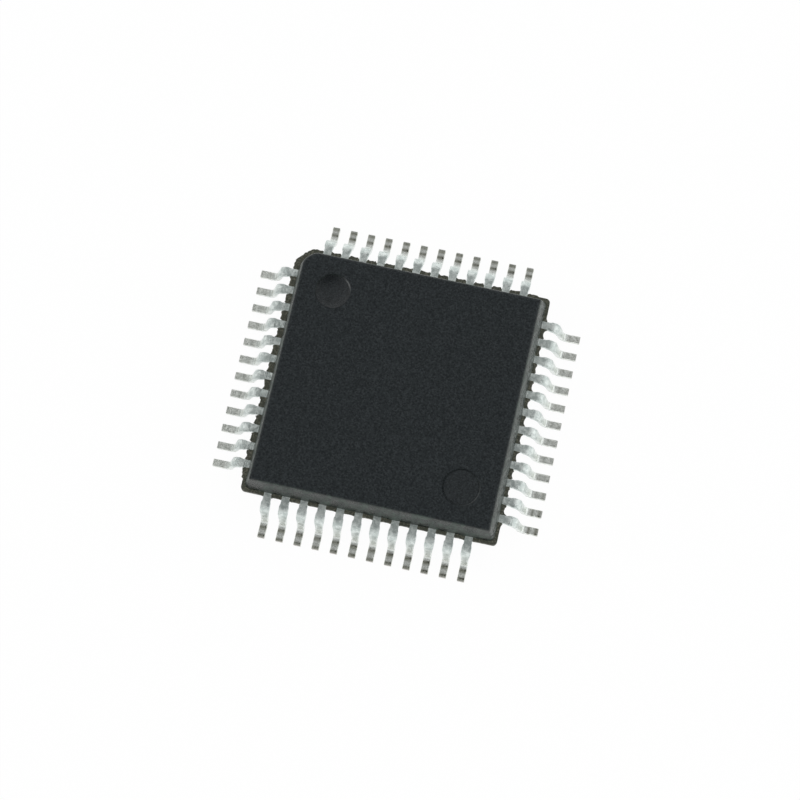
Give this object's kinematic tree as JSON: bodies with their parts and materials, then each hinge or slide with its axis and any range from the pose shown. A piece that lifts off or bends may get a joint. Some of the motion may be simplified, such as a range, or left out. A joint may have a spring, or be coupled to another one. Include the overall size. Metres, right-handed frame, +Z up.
{
  "type": "quad flat pack chip",
  "caption": "Square black moulded chip package with fine gull-wing leads along all four sides, a bevelled corner and two round moulded marks on its top.",
  "frame": {"origin": "under the middle of the package, on the plane that the feet stand on", "axes": "+Z up out of the top face; terminal 1's bevelled corner is at -X, +Y; terminals count anticlockwise seen from above"},
  "size_m": [0.009, 0.009, 0.0015],
  "materials": {
    "moulding_resin": "matt black moulding resin with a fine spark-eroded grain",
    "tinned_lead": "satin tin plating on copper alloy",
    "copper_alloy": "bare rolled copper alloy",
    "silver_adhesive": "silver-filled adhesive",
    "silicon": "polished silicon",
    "gold_wire": "drawn gold wire"
  },
  "bodies": {
    "root": {"package_body": "moulding_resin", "lead_01": "tinned_lead", "lead_02": "tinned_lead", "lead_03": "tinned_lead", "lead_04": "tinned_lead", "lead_05": "tinned_lead", "lead_06": "tinned_lead", "lead_07": "tinned_lead", "lead_08": "tinned_lead", "lead_09": "tinned_lead", "lead_10": "tinned_lead", "lead_11": "tinned_lead", "lead_12": "tinned_lead", "lead_13": "tinned_lead", "lead_14": "tinned_lead", "lead_15": "tinned_lead", "lead_16": "tinned_lead", "lead_17": "tinned_lead", "lead_18": "tinned_lead", "lead_19": "tinned_lead", "lead_20": "tinned_lead", "lead_21": "tinned_lead", "lead_22": "tinned_lead", "lead_23": "tinned_lead", "lead_24": "tinned_lead", "lead_25": "tinned_lead", "lead_26": "tinned_lead", "lead_27": "tinned_lead", "lead_28": "tinned_lead", "lead_29": "tinned_lead", "lead_30": "tinned_lead", "lead_31": "tinned_lead", "lead_32": "tinned_lead", "lead_33": "tinned_lead", "lead_34": "tinned_lead", "lead_35": "tinned_lead", "lead_36": "tinned_lead", "lead_37": "tinned_lead", "lead_38": "tinned_lead", "lead_39": "tinned_lead", "lead_40": "tinned_lead", "lead_41": "tinned_lead", "lead_42": "tinned_lead", "lead_43": "tinned_lead", "lead_44": "tinned_lead", "lead_45": "tinned_lead", "lead_46": "tinned_lead", "lead_47": "tinned_lead", "lead_48": "tinned_lead", "die_pad": "copper_alloy", "die_attach": "silver_adhesive", "silicon_die": "silicon", "bond_wires_left": "gold_wire", "bond_wires_front": "gold_wire", "bond_wires_right": "gold_wire", "bond_wires_back": "gold_wire"}
  },
  "joints": []
}
